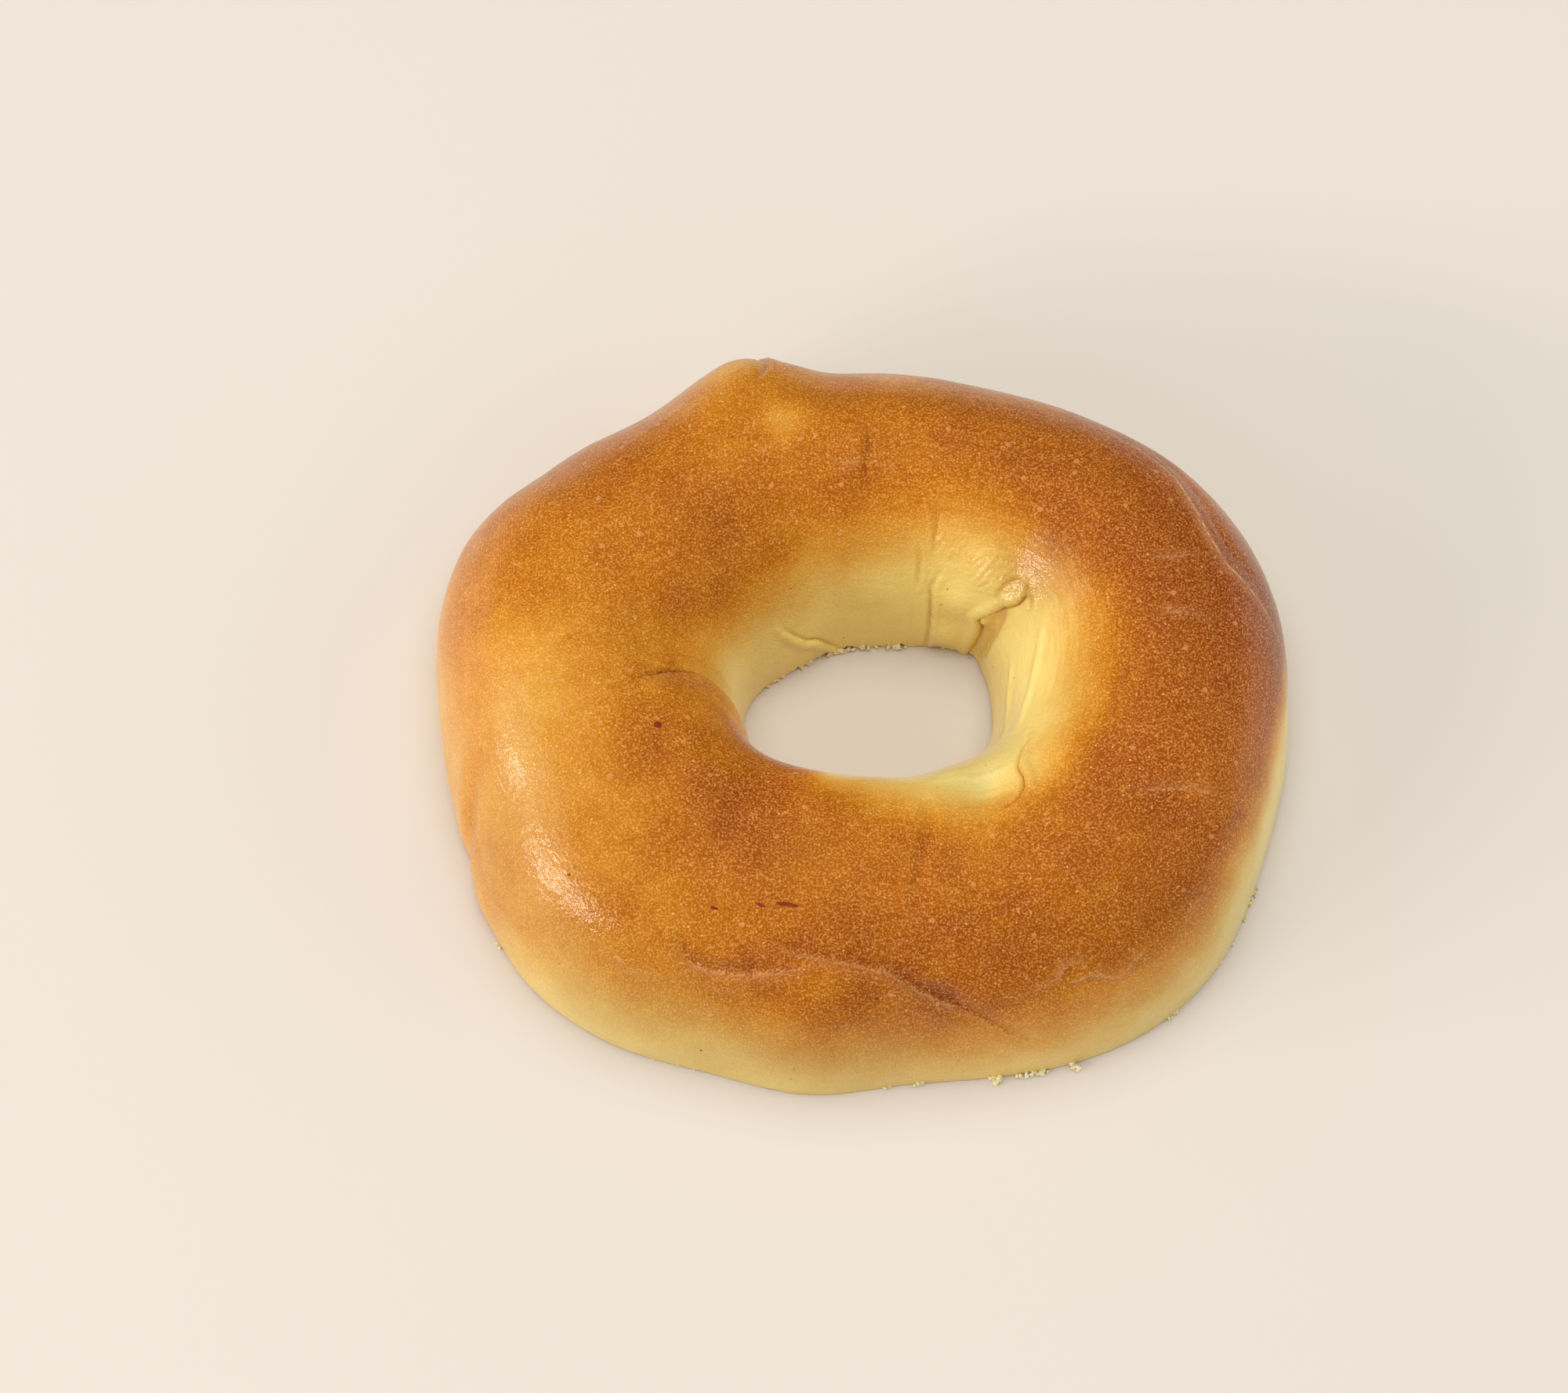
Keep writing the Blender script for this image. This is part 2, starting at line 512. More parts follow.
# soft patches of more or less colour: bearing, share, radius, amount
PATCHES = (
    (10, .42, 16.0, .05), (10, .27, 8.0, .1), (343, .44, 8.0, .03), (331, .4, 5.0, .03),
    (182, .43, 7.0, -.08), (168, .4, 5.0, .08), (178, .25, 8.0, .08), (192, .25, 3.5, .12),
    (215, .36, 7.0, .05), (108, .48, 2.6, -.24), (112, .3, 3.5, -.24), (92, .34, 6.0, .06),
    (88.5, .515, 1.8, .06), (133, .58, 6.0, .06), (231, .58, 3.5, .06), (283, .26, 2.2, .15),
    (276, .305, 2.2, .08), (268, .36, 2.2, .08), (258, .37, 2.0, .06), (249, .31, 2.0, .1),
    (290, .215, 2.2, .1), (274, .28, 3.0, -.08), (262, .31, 3.5, -.08), (227, .33, 3.0, .12),
    (203, .58, 3.0, .05), (186.5, .59, 1.7, .14), (182.5, .655, 1.6, .12), (189.5, .6, 1.5, -.12),
    (60, .62, 7.0, -.08), (140, .4, 8.0, .04), (36, .68, 4.0, .1), (205, .1, 8.0, .08),
    (322, .62, 3.0, -.2), (204, .29, 6.0, -.04), (215, .77, 4.0, .14), (208, .78, 4.0, .12),
    (12, .22, 6.0, .12), (306, .7, 4.0, .12), (12, .12, 8.0, .24), (2, .17, 5.0, .12),
    (60, .29, 5.0, -.12), (84, .29, 6.0, -.12), (30, .2, 8.0, -.14), (216, .28, 3.5, -.06),
    (217, .5, 3.5, -.08), (253, .7, 3.0, -.1),
)
GLAZE_TINT = 0.04
browning = pale + (brown - pale + GLAZE_TINT + patchwork(flat_plain, PATCHES)) * rise * fall
browning += crease_colour
print(f"browning runs from {browning.min():.2f} to {browning.max():.2f}, mean {browning.mean():.2f}")

# %% Lighter and darker dough
# The same browning can sit on lighter or darker dough: bearing, share, radius, change of lightness.
LIGHTNESS_PATCHES = (
    (246, .07, 12.0, -.15), (228, .08, 9.0, -.14), (265, .09, 12.0, -.12), (328, .12, 9.0, -.14),
    (312, .08, 8.0, -.06), (155, .57, 8.0, .1), (200, .6, 6.0, .08), (150, .86, 9.0, -.16),
    (184, .78, 5.0, -.04), (190, .84, 5.0, .06), (252, .45, 10.0, -.06), (30, .7, 7.0, -.16),
    (75, .6, 8.0, .04), (100, .8, 10.0, -.1), (70, .76, 6.0, -.1), (36, .74, 5.0, -.12),
    (338, .4, 12.0, .14), (6, .3, 12.0, .12), (5, .92, 8.0, .22), (240, .64, 5.0, .14),
    (112, .28, 4.0, -.06), (206, .29, 12.0, -.15), (212, .12, 10.0, -.08), (209, .78, 5.0, .28),
    (12, .22, 6.0, .16), (355, .25, 7.0, .13), (306, .69, 4.5, -.14), (326, .7, 5.0, -.13),
    (350, .67, 6.0, -.12), (254, .13, 9.0, -.1), (20, .72, 8.0, -.05), (12, .1, 5.0, -.16),
    (216, .75, 4.0, .08), (230, .75, 4.0, .16), (242, .69, 4.5, .14), (60, .28, 5.0, .12),
    (84, .28, 5.0, .1), (30, .21, 8.0, .14), (178, .79, 5.0, -.1), (57, .5, 4.0, -.08),
    (232, .12, 13.0, -.11), (222, .24, 6.0, -.08), (240, .22, 7.0, -.07), (228, .38, 6.0, -.07),
    (190, .1, 8.0, -.05), (190, .38, 6.0, -.06), (280, .1, 9.0, -.07),
)
lightness = 1.0 + patchwork(flat_plain, LIGHTNESS_PATCHES)

# %% Coordinates along the rolled rope
# The dough was rolled as a rope, so its skin is faintly streaked along the ring. These coordinates
# count streak lengths along the ring and streak widths across it.
STREAK_LENGTH = 9.0
STREAK_WIDTH = 0.75
MIDDLE_RADIUS = 35.0
steps_over = np.linalg.norm(np.diff(plain, axis=1), axis=2)
over_skin = np.concatenate((np.zeros((BEARING_STEPS, 1)), np.cumsum(steps_over, axis=1)), axis=1).ravel()
lengths_round = MIDDLE_RADIUS / STREAK_LENGTH
rope = np.stack((np.cos(np.radians(turns)) * lengths_round,
                 np.sin(np.radians(turns)) * lengths_round, over_skin / STREAK_WIDTH), axis=-1)
streaked = 0.25 + 0.75 * bells(turns, ((20, 32, 1.0),)) * smoothstep(0.4, 0.58, overs)

# %% Where the glaze is wrinkled
# Pulled skin has wrinkled glaze, which glitters: bearing, share, radius, how wrinkled.
WRINKLED_PATCHES = (
    (44, .74, 3.0, 1.0), (55, .72, 2.2, .8), (62, .7, 2.0, .7), (5, .68, 5.0, .3), (207, .29, 6.0, .28),
    (218, .29, 6.0, .28), (48, .9, 2.0, .5), (310, .66, 3.0, .4),
)
wrinkled = patchwork(flat_plain, WRINKLED_PATCHES)

# %% [markdown]
# ## The crust as a shell
# The crust is a skin about a millimetre thick. It is built as one closed grid: the outside, then
# a few rows back underneath it, so that the cut edge shows the skin's own thickness.

# %% Mesh helpers
def in_scene(name, data):
    """Put a mesh, a light or a camera into the scene."""
    placed = bpy.data.objects.new(name, data)
    bpy.context.scene.collection.objects.link(placed)
    return placed


def mesh_piece(name, points, faces):
    """One piece from points in millimetres and faces."""
    mesh = bpy.data.meshes.new(name)
    mesh.from_pydata((points / 1000.0).tolist(), [], faces)
    mesh.update()
    mesh.shade_smooth()
    return in_scene(name, mesh)


def ring_mesh(name, grid):
    """A closed ring from a grid of points in millimetres: bearings by points round the section."""
    turns_count, rows = grid.shape[:2]
    corners = np.arange(turns_count * rows).reshape(turns_count, rows)
    quads = np.stack((corners, np.roll(corners, -1, 0), np.roll(np.roll(corners, -1, 0), -1, 1),
                      np.roll(corners, -1, 1)), axis=-1).reshape(-1, 4)
    return mesh_piece(name, grid.reshape(-1, 3), quads.tolist())


def keep_attribute(piece, name, values, hidden):
    """Store one number or vector per skin point for the material to read. Hidden rows get a constant."""
    values = np.asarray(values, dtype=np.float32)
    values = values.reshape(BEARING_STEPS, SKIN_POINTS, -1)
    rows = np.full((BEARING_STEPS, UNDER_POINTS, values.shape[2]), hidden, dtype=np.float32)
    kind, slot_name = ("FLOAT", "value") if values.shape[2] == 1 else ("FLOAT_VECTOR", "vector")
    layer = piece.data.attributes.new(name, kind, "POINT")
    layer.data.foreach_set(slot_name, np.concatenate((values, rows), axis=1).ravel())


# %% Build the crust
HIDDEN_DEPTH = 2.6


def inner_surface(bearing, inner_shares, gap):
    """The surface under the skin: thin at the two cut edges and deeper where it is hidden."""
    rim = section(bearing, inner_shares, CRUST_THICKNESS + gap)
    deep = section(bearing, inner_shares, CRUST_THICKNESS + HIDDEN_DEPTH + gap)
    near_edge = np.minimum(inner_shares, 1.0 - inner_shares)
    return rim + (deep - rim) * smoothstep(0.02, 0.14, near_edge)[:, None]


UNDER_POINTS = 12
under_shares = 1.0 - smoothstep(0.0, 1.0, np.linspace(0.0, 1.0, UNDER_POINTS))
under = np.array([inner_surface(bearing, under_shares, 0.0) for bearing in bearings])
under[:, :, :2] -= middle[:2]
crust = ring_mesh("crust", np.concatenate((skin, under), axis=1))
KEPT = (
    ("browning", browning), ("lightness", lightness), ("seam_side", seam_side), ("seam_sharp", seam_sharp),
    ("seam_cracked", seam_cracked), ("rope", rope), ("streaked", streaked), ("wrinkled", wrinkled),
)
HIDDEN_VALUES = {"lightness": 1.0, "seam_side": FAR_FROM_SEAM}
for name, values in KEPT:
    keep_attribute(crust, name, values, HIDDEN_VALUES.get(name, 0.0))
print(f"crust: {2 * len(crust.data.polygons)} triangles")

# %% [markdown]
# ## Colours
# Colours are written as the hex values a paint program shows, which are in sRGB. Blender's
# sockets want linear values, so one function turns them.

# %% Turn hex to linear, and add nodes
def linear(hex_colour):
    """Linear RGBA for a Blender socket from an sRGB hex colour."""
    parts = [int(hex_colour[i:i + 2], 16) / 255.0 for i in (1, 3, 5)]
    return [c / 12.92 if c <= 0.04045 else ((c + 0.055) / 1.055) ** 2.4 for c in parts] + [1.0]


def plug(tree, node, inputs):
    """Fill a node's inputs with numbers, colours, sockets, or other nodes' first outputs."""
    for name, value in inputs.items():
        if isinstance(value, bpy.types.Node):
            value = value.outputs[0]
        if isinstance(value, bpy.types.NodeSocket):
            tree.links.new(value, node.inputs[name])
        else:
            node.inputs[name].default_value = value


def add(tree, kind, settings=None, inputs=None):
    """Add one node. Settings are its own options."""
    node = tree.nodes.new("ShaderNode" + kind)
    for name, value in (settings or {}).items():
        setattr(node, name, value)
    plug(tree, node, inputs or {})
    return node


# options that many nodes share
SOFT = {"interpolation_type": "SMOOTHSTEP"}
TIMES = {"operation": "MULTIPLY"}
TIMES_PLUS = {"operation": "MULTIPLY_ADD"}
MIX = {"data_type": "RGBA"}


def new_material(name):
    """A material with an empty tree but for its Principled shader and output."""
    material = bpy.data.materials.new(name)
    material.use_nodes = True
    return material, material.node_tree, material.node_tree.nodes["Principled BSDF"]


# %% [markdown]
# ## Egg-washed crust
# Egg wash dries to a thin glaze over dough whose sugars have browned. The eye sees three things: a
# warm colour that runs from butter yellow to chestnut, a fine speckle of paler grains a third of a
# millimetre apart, and a gloss that stays in one piece because the glaze has levelled over the
# grains. So the grains go in the colour and the matt layer under the glaze, and the coat on top
# gets a gentler bump of its own. Egg glaze has an IOR near 1.45, and is about 0.1 rough.

# %% The colour from pale dough to deep brown
crust_material, tree, shader = new_material("egg_washed_crust")
BROWNING_COLOURS = (  # browning, colour between the grains
    (-.25, "#ead88c"), (0.00, "#e8cd76"), (.14, "#e2bd66"), (.26, "#d8ac54"), (.39, "#ce983e"),
    (.54, "#c28328"), (.65, "#b77214"), (.74, "#aa6204"), (.8, "#a25800"), (.89, "#944900"),
    (.98, "#8a3e00"), (1.1, "#803200"), (1.3, "#702600"),
)
place = add(tree, "TexCoord").outputs["Object"]
baked, lighter, seam_side, is_sharp, is_cracked, is_streaked, is_wrinkled = [
    add(tree, "Attribute", {"attribute_name": name}).outputs["Fac"]
    for name in ("browning", "lightness", "seam_side", "seam_sharp", "seam_cracked", "streaked", "wrinkled")]
rope_place = add(tree, "Attribute", {"attribute_name": "rope"}).outputs["Vector"]
NOISES = ((0.006, 2.0), (0.0011, 1.0), (0.00027, 0.0))  # size of the lumps, detail
cloud, mottle, fine = [add(tree, "TexNoise", {}, {"Vector": place, "Scale": 1 / size, "Detail": detail})
                       for size, detail in NOISES]
# the dough was rolled as a rope, and its skin is streaked along it
streak = add(tree, "TexNoise", {}, {"Vector": rope_place, "Scale": 1.0, "Detail": 2.0, "Roughness": 0.6})
is_brown = add(tree, "MapRange", SOFT, {"Value": baked, "From Min": 0.1, "From Max": 0.6, "To Min": 0.25})

# %% Fine lines of the folds
# The seam's distance changes evenly over the skin, so a line drawn from it is finer than the mesh.
# Two noises fray it, and add 0.7 mm on average: a line at 0.7 lies on the seam itself.
frayed = add(tree, "Math", TIMES_PLUS, {0: fine, 1: 0.6, 2: seam_side})
frayed = add(tree, "Math", TIMES_PLUS, {0: mottle, 1: 0.8, 2: frayed})


def beside_seam(distance, faded, full, strength):
    """A soft line along the seam, at a distance from it. It fades out over the given distances."""
    away = add(tree, "Math", {"operation": "SUBTRACT"}, {0: frayed, 1: distance})
    away = add(tree, "Math", {"operation": "ABSOLUTE"}, {0: away})
    line = add(tree, "MapRange", SOFT, {"Value": away, "From Min": faded, "From Max": full})
    return add(tree, "Math", TIMES, {0: line, 1: strength})


dark_line = beside_seam(0.7, 0.42, 0.08, is_sharp)
pale_line = beside_seam(1.4, 0.34, 0.06, is_cracked)
broken = add(tree, "MapRange", {}, {"Value": mottle, "From Min": 0.38, "From Max": 0.55})
pale_line = add(tree, "Math", TIMES, {0: pale_line, 1: broken})

# %% From browning to colour
# Clouds, mottling and streaks along the rope each shift the browning a little, either way.
SHIFTS = ((cloud, 0.05, 1.0), (mottle, 0.022, is_brown), (streak, 0.06, is_streaked))
shade = baked
for pattern, most, strength in SHIFTS:
    shift_here = add(tree, "MapRange", {}, {"Value": pattern, "From Min": 0.3, "From Max": 0.7,
                                            "To Min": -most, "To Max": most})
    shade = add(tree, "Math", TIMES_PLUS, {0: shift_here, 1: strength, 2: shade})
shade = add(tree, "Math", TIMES_PLUS, {0: dark_line, 1: 0.32, 2: shade})
LOW, HIGH = BROWNING_COLOURS[0][0], BROWNING_COLOURS[-1][0]
on_ramp = add(tree, "MapRange", {}, {"Value": shade, "From Min": LOW, "From Max": HIGH})
ramp = add(tree, "ValToRGB", {}, {"Fac": on_ramp})
stops = ramp.color_ramp.elements
stops[0].color = linear(BROWNING_COLOURS[0][1])
stops[-1].color = linear(BROWNING_COLOURS[-1][1])
for amount, colour in BROWNING_COLOURS[1:-1]:
    stops.new((amount - LOW) / (HIGH - LOW)).color = linear(colour)

# %% Grains
# Pale grains a third of a millimetre apart lie in the glaze, some clear and some hardly there.
# They add light to the brown rather than turn it yellow, and stand out most where it is darkest.
GRAIN_SPACING = 0.00033
GRAIN_LIGHT = "#9f7d43"
grain = add(tree, "TexVoronoi", {}, {"Vector": place, "Scale": 1 / GRAIN_SPACING})
grain_light = add(tree, "MapRange", SOFT, {"Value": grain, "From Min": 0.56, "From Max": 0.16, "To Min": 0.4})
is_clear = add(tree, "MapRange", SOFT, {"Value": fine, "From Min": 0.36, "From Max": 0.72})
grain_strength = add(tree, "MapRange", {}, {"Value": baked, "From Max": 0.8, "To Min": 0.25})
for factor in (is_clear, grain_strength):
    grain_light = add(tree, "Math", TIMES, {0: grain_light, 1: factor})
coloured = add(tree, "Mix", {"data_type": "RGBA", "blend_type": "ADD"},
               {0: grain_light, 6: ramp, 7: linear(GRAIN_LIGHT)}).outputs[2]

# %% Blisters, glints, specks and bloom
def dots(spacing, edge, core, strength):
    """Round dots a spacing apart, in metres. Their edge and core are shares of the spacing."""
    cells = add(tree, "TexVoronoi", {}, {"Vector": place, "Scale": 1 / spacing})
    spots = add(tree, "MapRange", SOFT, {"Value": cells, "From Min": edge, "From Max": core})
    return add(tree, "Math", TIMES, {0: spots, 1: strength})


# round blisters up to 0.8 mm across, one or two to the square centimetre
on_blister = dots(0.0039, 0.118, 0.08, is_brown)
# bright grains, a third of a millimetre across, where a grain breaks through the glaze
on_bright = dots(0.0015, 0.13, 0.06, is_brown)
on_bright = add(tree, "Math", {"operation": "MAXIMUM"}, {0: on_bright, 1: pale_line})
# dark specks a quarter of a millimetre across
on_speck = dots(0.0034, 0.06, 0.035, 1.0)
# a pinkish bloom on the lip beside a crack
bloom = beside_seam(1.7, 1.5, 0.2, is_cracked)
COVERS = ((on_blister, 0.5, "#d8965c"), (on_bright, 0.55, "#e8b978"), (on_speck, 0.55, "#80500f"),
          (bloom, 0.2, "#d4a078"))
for mask, strength, colour in COVERS:
    covered = add(tree, "Math", TIMES, {0: mask, 1: strength})
    coloured = add(tree, "Mix", MIX, {0: covered, 6: coloured, 7: linear(colour)}).outputs[2]
coloured = add(tree, "Mix", {"data_type": "RGBA", "blend_type": "MULTIPLY"},
               {0: 1.0, 6: coloured, 7: lighter}).outputs[2]

# %% Sheen and bump of the crust
rough = add(tree, "MapRange", {}, {"Value": cloud, "From Min": 0.3, "From Max": 0.7,
                                   "To Min": 0.38, "To Max": 0.48})
# soft lumps of a millimetre, and crinkles of a quarter of a millimetre, shape the glaze
raised = add(tree, "MapRange", {"clamp": False}, {"Value": is_wrinkled, "To Min": 1.0, "To Max": 4.5})
relief = add(tree, "Math", TIMES, {0: raised, 1: mottle})
for mask, height in ((streak, 0.8), (dark_line, -1.5), (pale_line, 1.0), (on_blister, 0.8)):
    relief = add(tree, "Math", TIMES_PLUS, {0: mask, 1: height, 2: relief})
glaze_bump = add(tree, "Bump", {}, {"Height": relief, "Strength": 1.0, "Distance": 0.00007})
crinkle = add(tree, "Bump", {}, {"Height": fine, "Normal": glaze_bump, "Strength": 1.0, "Distance": 0.000035})
grain_bump = add(tree, "Bump", {}, {"Height": grain_light, "Normal": crinkle,
                                    "Strength": 1.0, "Distance": 0.00005})
plug(tree, shader, {
    "Base Color": coloured, "Roughness": rough, "IOR": 1.45, "Specular IOR Level": 0.15, "Normal": grain_bump,
    "Coat Weight": 0.56, "Coat Roughness": 0.09, "Coat IOR": 1.45, "Coat Normal": crinkle})
crust.data.materials.append(crust_material)

# %% [markdown]
# ## Scorched flecks
# Where a drop of egg ran and burnt, it left a small red-brown scab. A scab is too small and crisp
# for the skin's own points to carry, so each one is a thin lens of its own, laid on the skin:
# a disc of rings whose points are looked up on the skin's grid, thick in the middle and sunk at
# the rim. All of them are one joined mesh.

# %% Points on the finished skin
skin_normal_grid = normals_of(skin)


def on_skin(bearing, share):
    """The point and normal of the finished skin at one place, from the four grid points round it."""
    column = (bearing % 360.0) / 360.0 * BEARING_STEPS
    row = np.interp(share, shares, np.arange(SKIN_POINTS))
    left, low = int(column), min(int(row), SKIN_POINTS - 2)
    a, b = column - left, row - low
    right = (left + 1) % BEARING_STEPS
    left %= BEARING_STEPS
    mixed = [(1 - a) * (1 - b) * grid[left, low] + a * (1 - b) * grid[right, low]
             + (1 - a) * b * grid[left, low + 1] + a * b * grid[right, low + 1]
             for grid in (skin, skin_normal_grid)]
    return mixed[0], mixed[1] / np.linalg.norm(mixed[1])


# %% Lay the flecks
FLECKS = (  # bearing, share, length, width, turn in degrees from the ring's own direction
    (201.2, .583, 1.35, 1.1, 75), (254.0, .424, 3.1, .62, 2), (252.2, .421, 1.5, .46, -4),
    (248.5, .411, 1.7, .44, -6), (240.7, .387, 1.3, .58, 4), (271.5, .262, .7, .42, 30),
    (217.6, .315, .6, .42, 60), (246.0, .088, .4, .4, 0),
)
FLECK_SIDES = 20
FLECK_RINGS = 4
FLECK_THICKNESS = 0.1


def fleck_grid(bearing, share, length, width, turn):
    """The rings of points of one fleck, its middle first."""
    centre, normal = on_skin(bearing, share)
    ahead = on_skin(bearing + 0.5, share)[0] - on_skin(bearing - 0.5, share)[0]
    up_section = on_skin(bearing, share + 0.004)[0] - on_skin(bearing, share - 0.004)[0]
    per_degree, per_share = np.linalg.norm(ahead), np.linalg.norm(up_section) / 0.008
    spin = math.radians(turn)
    rings = []
    for ring in range(1, FLECK_RINGS + 1):
        out = ring / FLECK_RINGS
        for side in range(FLECK_SIDES):
            angle = math.tau * side / FLECK_SIDES
            ragged = 1.0 + 0.22 * noise.noise(Vector((math.cos(angle) * 1.5, math.sin(angle) * 1.5, bearing)))
            x, y = 0.5 * length * out * ragged * math.cos(angle), 0.5 * width * out * ragged * math.sin(angle)
            x, y = x * math.cos(spin) - y * math.sin(spin), x * math.sin(spin) + y * math.cos(spin)
            point, up = on_skin(bearing + x / per_degree, share + y / per_share)
            rings.append(point + up * FLECK_THICKNESS * (1.0 - 1.5 * out ** 3))
    return [centre + normal * FLECK_THICKNESS] + rings


fleck_points, fleck_faces = [], []
for values in FLECKS:
    first = len(fleck_points)
    fleck_points += fleck_grid(*values)
    for side in range(FLECK_SIDES):
        after = (side + 1) % FLECK_SIDES
        fleck_faces.append((first, first + 1 + side, first + 1 + after))
        for ring in range(FLECK_RINGS - 1):
            low = first + 1 + ring * FLECK_SIDES
            fleck_faces.append((low + side, low + FLECK_SIDES + side, low + FLECK_SIDES + after, low + after))
flecks = mesh_piece("scorched_flecks", np.array(fleck_points), fleck_faces)
print(f"flecks: {len(FLECKS)}")

# %% Burnt egg
# Burnt egg is glassy and a dark red-brown, thinner and redder where it thins out.
burnt_material, tree, shader = new_material("burnt_egg")
place = add(tree, "TexCoord").outputs["Object"]
thin = add(tree, "TexNoise", {}, {"Vector": place, "Scale": 1 / 0.0004, "Detail": 2.0})
burnt = add(tree, "Mix", MIX, {0: thin, 6: linear("#5e1603"), 7: linear("#963c12")}).outputs[2]
rough = add(tree, "MapRange", {}, {"Value": thin, "To Min": 0.25, "To Max": 0.5})
bump = add(tree, "Bump", {}, {"Height": thin, "Strength": 1.0, "Distance": 0.00004})
plug(tree, shader, {"Base Color": burnt, "IOR": 1.5, "Roughness": rough, "Normal": bump})
flecks.data.materials.append(burnt_material)

# %% [markdown]
# ## The cut crumb
# Under the crust the dough is an open foam. The knife tears it rather than slicing it clean, so
# the face is rough and full of pores. It is one closed piece: a fine face below with the pores
# pressed up into it, and a few coarse rows above that stay hidden in the crust.

# %% Pores and torn face
FACE_POINTS = 108
TOP_POINTS = 12
CRUMB_GAP = 0.03
top_shares = smoothstep(0.0, 1.0, np.linspace(0.0, 1.0, TOP_POINTS))
top = np.array([inner_surface(bearing, top_shares, CRUMB_GAP) for bearing in bearings])
inward = np.linspace(0.0, 1.0, FACE_POINTS)[None, :, None]
face = top[:, -1:, :] * (1.0 - inward) + top[:, :1, :] * inward
draws = np.random.default_rng(7)
PORES = 900
spots = draws.uniform((-60.0, -54.0), (60.0, 54.0), (PORES, 2))
sizes = 0.45 + 1.5 * draws.random(PORES) ** 3.2
stretch = draws.uniform(1.0, 2.1, PORES)
angles = draws.uniform(0.0, math.pi, PORES)
flat = face.reshape(-1, 3)
depth = 0.16 + 0.1 * noise_at(flat, 0.9, 11) + 0.1 * noise_at(flat, 2.2, 12)
for spot, size, longer, angle in zip(spots, sizes, stretch, angles):
    offset = flat[:, :2] - spot
    close = np.flatnonzero(np.abs(offset).max(axis=1) < size * longer)
    along = offset[close, 0] * math.cos(angle) + offset[close, 1] * math.sin(angle)
    beside = offset[close, 1] * math.cos(angle) - offset[close, 0] * math.sin(angle)
    inside = np.clip(1.0 - (along / (size * longer)) ** 2 - (beside / size) ** 2, 0.0, 1.0)
    depth[close] += 1.1 * size * np.sqrt(inside)
edge = np.tile(np.minimum(np.arange(FACE_POINTS), np.arange(FACE_POINTS)[::-1]), BEARING_STEPS)
flat[:, 2] = np.clip(depth, 0.0, 0.2 + 0.5 * edge)
face = flat.reshape(face.shape)
top[:, (0, -1), 2] = 0.15
crumb_grid = np.concatenate((top, face[:, 1:-1]), axis=1)
crumb_grid[:, :, :2] -= middle[:2]
crumb = ring_mesh("crumb", crumb_grid)
print(f"crumb: {2 * len(crumb.data.polygons)} triangles, {PORES} pores")

# %% Crumb material
def crumb_look(name, hollow_colour, ridge_colour):
    """Dry open dough: rough, matt, and paler on the ridges of its foam."""
    material, tree, shader = new_material(name)
    place = add(tree, "TexCoord").outputs["Object"]
    foam = add(tree, "TexNoise", {}, {"Vector": place, "Scale": 1 / 0.0009, "Detail": 4.0, "Roughness": 0.65})
    patch = add(tree, "TexNoise", {}, {"Vector": place, "Scale": 1 / 0.006, "Detail": 2.0})
    tone = add(tree, "Math", TIMES_PLUS, {0: patch, 1: 0.4, 2: foam})
    ramp = add(tree, "ValToRGB", {}, {"Fac": tone})
    ends = ramp.color_ramp.elements
    ends[0].position, ends[0].color = 0.45, linear(hollow_colour)
    ends[1].position, ends[1].color = 0.95, linear(ridge_colour)
    bump = add(tree, "Bump", {}, {"Height": foam, "Strength": 0.8, "Distance": 0.0004})
    plug(tree, shader, {"Base Color": ramp, "Roughness": 0.9, "IOR": 1.45, "Normal": bump})
    return material


crumb.data.materials.append(crumb_look("egg_dough_crumb", "#d9bf6e", "#f3e8b8"))

# %% [markdown]
# ## Torn crumbs on the edge
# The knife drags crumbs out of the foam. They hang together in clumps: a few stick out under the
# front of the rim, and small ones roughen its right side and the back of the hole. Each clump is
# a heap of small balls pushed out of shape by noise, and all of them are joined in one mesh.

# %% Edge crumbs
RIM_CLUMPS = (  # bearing, spread in degrees, reach in mm, bits, size in mm
    (289, .5, .9, 9, .36), (294.5, 1.5, .5, 14, .28), (300, .25, 1.4, 7, .27), (278, .8, .4, 6, .24),
    (273, .8, .4, 5, .22), (315, .6, .4, 4, .22), (325, 2.0, .25, 10, .19), (333, 2.5, .3, 12, .19),
    (243, 1.0, .25, 5, .18), (212, .8, .25, 3, .18),
)
HOLE_CLUMPS = (
    (42, 4.0, .3, 4, .2), (70, 3.0, .3, 7, .28), (88, 3.0, .3, 6, .3), (107, 4.0, .3, 9, .32),
    (128, 4.0, .3, 8, .28), (146, 3.0, .3, 6, .24),
)
dice = np.random.default_rng(31)
bits = []
for clumps, rim_radius, outward in ((RIM_CLUMPS, outer_radius, 1.0), (HOLE_CLUMPS, hole_radius, -1.0)):
    for bearing, spread, reach, count, size in clumps:
        for _ in range(count):
            turn = bearing + dice.normal(0.0, spread)
            out = dice.uniform(-0.1, reach)
            own_size = size * dice.uniform(0.7, 1.2) * (1.0 - 0.35 * out / reach)
            radius = rim_radius(np.array([turn]))[0] + outward * out
            bits.append((math.radians(turn), radius, own_size, dice.uniform(0.0, 0.5), dice.uniform(1.0, 1.9),
                         dice.uniform(0.0, math.tau)))

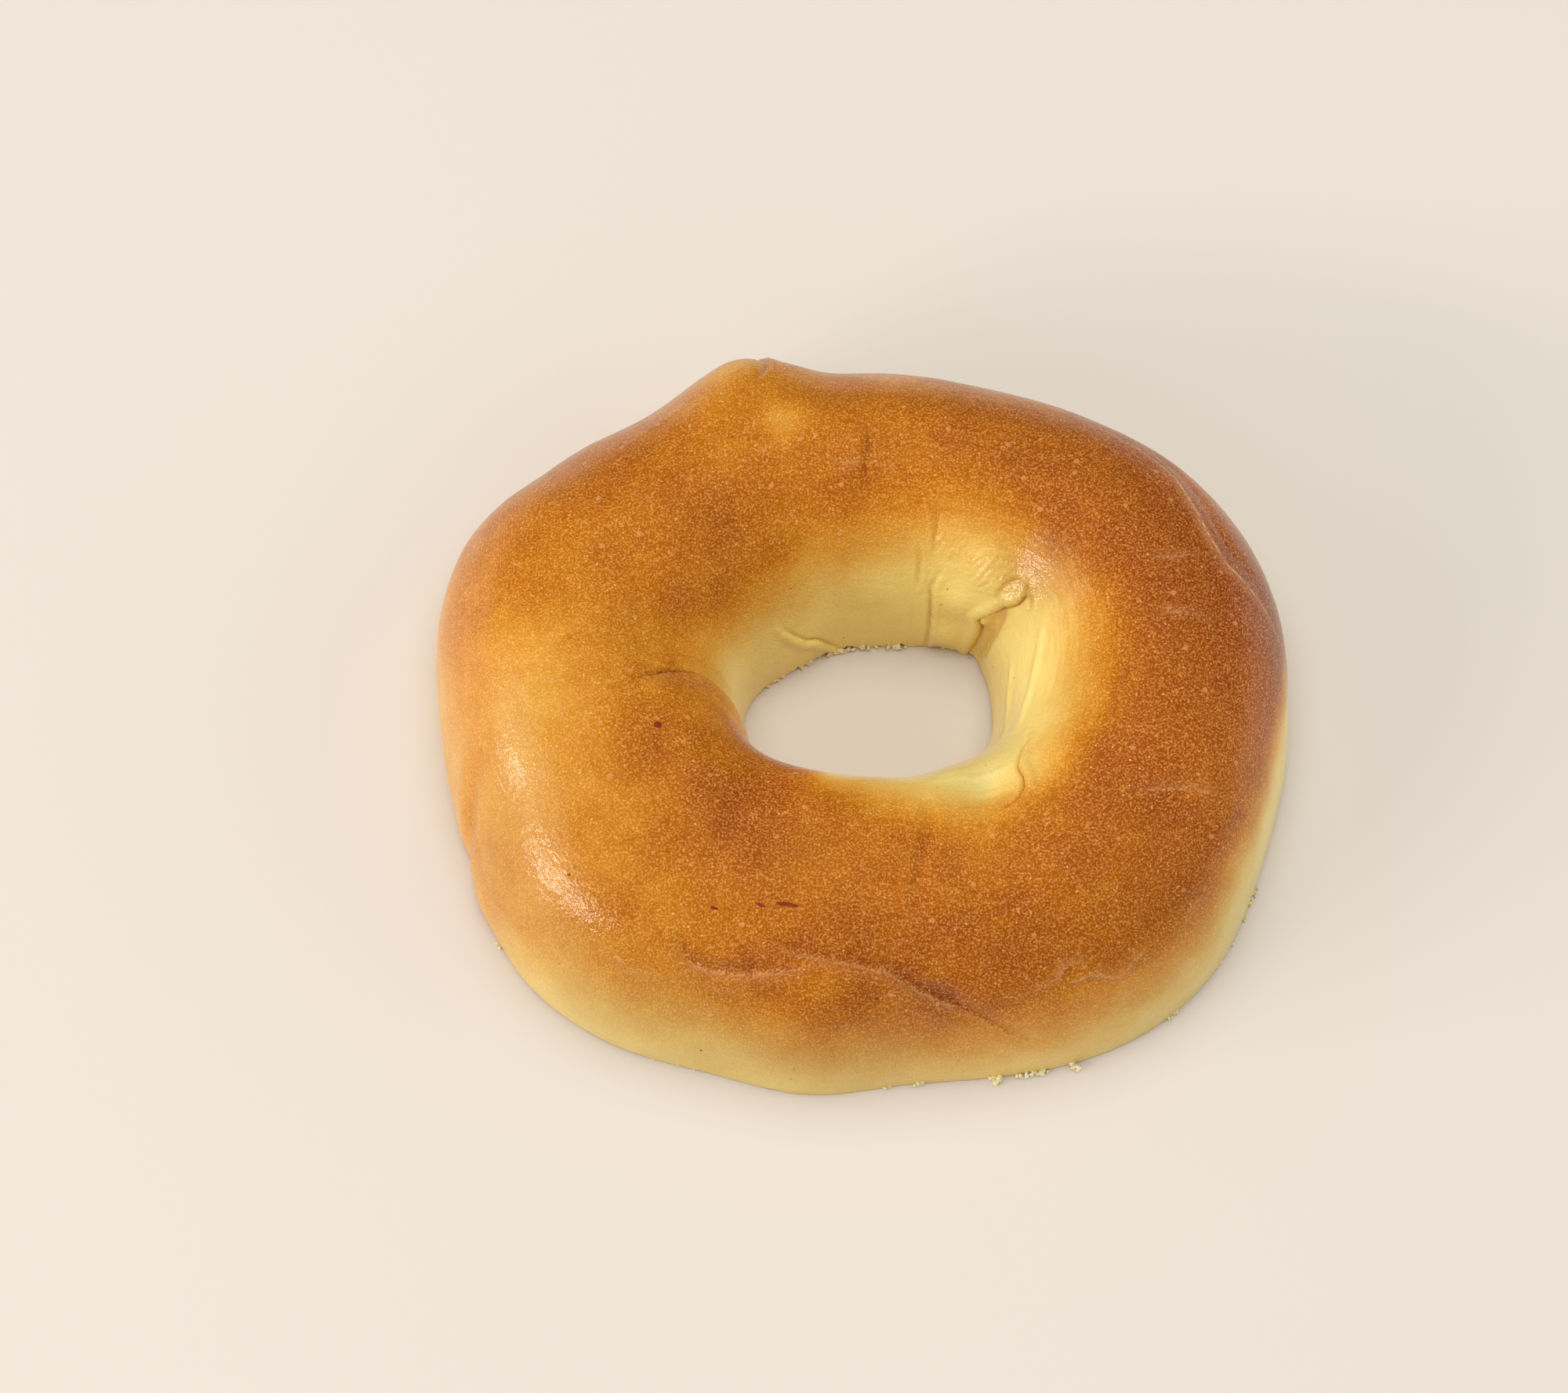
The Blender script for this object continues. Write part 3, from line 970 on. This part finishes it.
bits_mesh_data = bmesh.new()
for index, (turn, radius, size, height, longer, spin) in enumerate(bits):
    one = bmesh.ops.create_icosphere(bits_mesh_data, subdivisions=3, radius=1.0)["verts"]
    spot = Vector((radius * math.cos(turn) - middle[0], radius * math.sin(turn) - middle[1],
                   size * 0.7 + height))
    for vertex in one:
        here = vertex.co * 1.5 + Vector((index * 3.1, 0.0, 0.0))
        rough = 1.0 + 0.8 * noise.noise(here) + 0.4 * noise.noise(here * 2.3)
        swollen = vertex.co * rough * size
        stretched = Vector((swollen.x * longer, swollen.y, swollen.z))
        stretched.rotate(Euler((0.0, 0.0, spin)))
        place_now = (spot + stretched) / 1000.0
        vertex.co = Vector((place_now.x, place_now.y, max(place_now.z, 0.0)))
bits_mesh = bpy.data.meshes.new("edge_crumbs")
bits_mesh_data.to_mesh(bits_mesh)
bits_mesh_data.free()
bits_mesh.shade_smooth()
edge_crumbs = in_scene("edge_crumbs", bits_mesh)
edge_crumbs.data.materials.append(crumb_look("torn_crumb", "#e2cf8c", "#f6eccb"))
print(f"edge crumbs: {len(bits)} bits, {len(bits_mesh.polygons)} triangles")

# %% [markdown]
# ## Surroundings
# A pale floor, one wide window on the left and a bright room. The window is low, so it throws a soft
# shadow to the right, and its brightest pane lays a long highlight on the left shoulder.

# %% Floor
FLOOR_SIZE = 3.0
bpy.ops.mesh.primitive_plane_add(size=FLOOR_SIZE)
floor = bpy.context.active_object
floor.name = "floor"
floor_material, tree, shader = new_material("pale_floor")
plug(tree, shader, {"Base Color": linear("#d5ccc1"), "Roughness": 0.6})
floor.data.materials.append(floor_material)

# %% Window and room light
LIGHTS = (  # name, azimuth, elevation, distance, roll, width and height, power, colour
    ("window", 188, 20, 1.2, 0.0, (1.2, .8), 4.6, "#ffffff"),
    ("window_pane", 203, 17.5, 1.2, 22.0, (.9, .14), 7.6, "#fff4ee"),
    ("ceiling", 90, 80, 1.4, 0.0, (1.4, 1.4), 16.9, "#ffffff"),
    ("front_bounce", 270, 30, 1.2, 0.0, (1.2, .7), 1.5, "#ffffff"),
    ("right_bounce", 0, 30, 1.2, 0.0, (1.2, .7), 3.4, "#ffffff"),
)
for name, azimuth, elevation, distance, roll, size, power, colour in LIGHTS:
    lamp = bpy.data.lights.new(name, "AREA")
    lamp.shape = "RECTANGLE"
    lamp.size, lamp.size_y = size
    lamp.energy = power
    lamp.color = linear(colour)[:3]
    holder = in_scene(name, lamp)
    a, e = math.radians(azimuth), math.radians(elevation)
    away = Vector((math.cos(a) * math.cos(e), math.sin(a) * math.cos(e), math.sin(e)))
    holder.location = away * distance
    holder.rotation_mode = "QUATERNION"
    rolled = Quaternion((0.0, 0.0, 1.0), math.radians(roll))
    holder.rotation_quaternion = away.to_track_quat("Z", "Y") @ rolled
    # the window is the only light bright enough to show in the glaze
    holder.visible_glossy = name.startswith("window")
world = bpy.data.worlds.new("room")
world.use_nodes = True
plug(world.node_tree, world.node_tree.nodes["Background"], {"Color": linear("#ffffff"), "Strength": 0.3})
world.cycles_visibility.glossy = False
bpy.context.scene.world = world
bpy.context.scene.view_settings.view_transform = "Standard"

# %% Camera
CAMERA_ELEVATION = 66.0
CAMERA_DISTANCE = 0.6
AIM = Vector((-0.010968, 0.001102, 0.01))
lens = bpy.data.cameras.new("camera")
lens.lens = 100.0
lens.sensor_width = 36.0
camera = in_scene("camera", lens)
tilt = math.radians(CAMERA_ELEVATION)
camera.location = AIM + CAMERA_DISTANCE * Vector((0.0, -math.cos(tilt), math.sin(tilt)))
camera.rotation_euler = (math.radians(90.0 - CAMERA_ELEVATION), 0.0, 0.0)
bpy.context.scene.camera = camera

# %% Hand over
for piece, slot in ((crust, "crust"), (flecks, "crust"), (crumb, "crumb"), (edge_crumbs, "crumb")):
    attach(piece, "root")
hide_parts(NODE)
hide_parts(NODE)
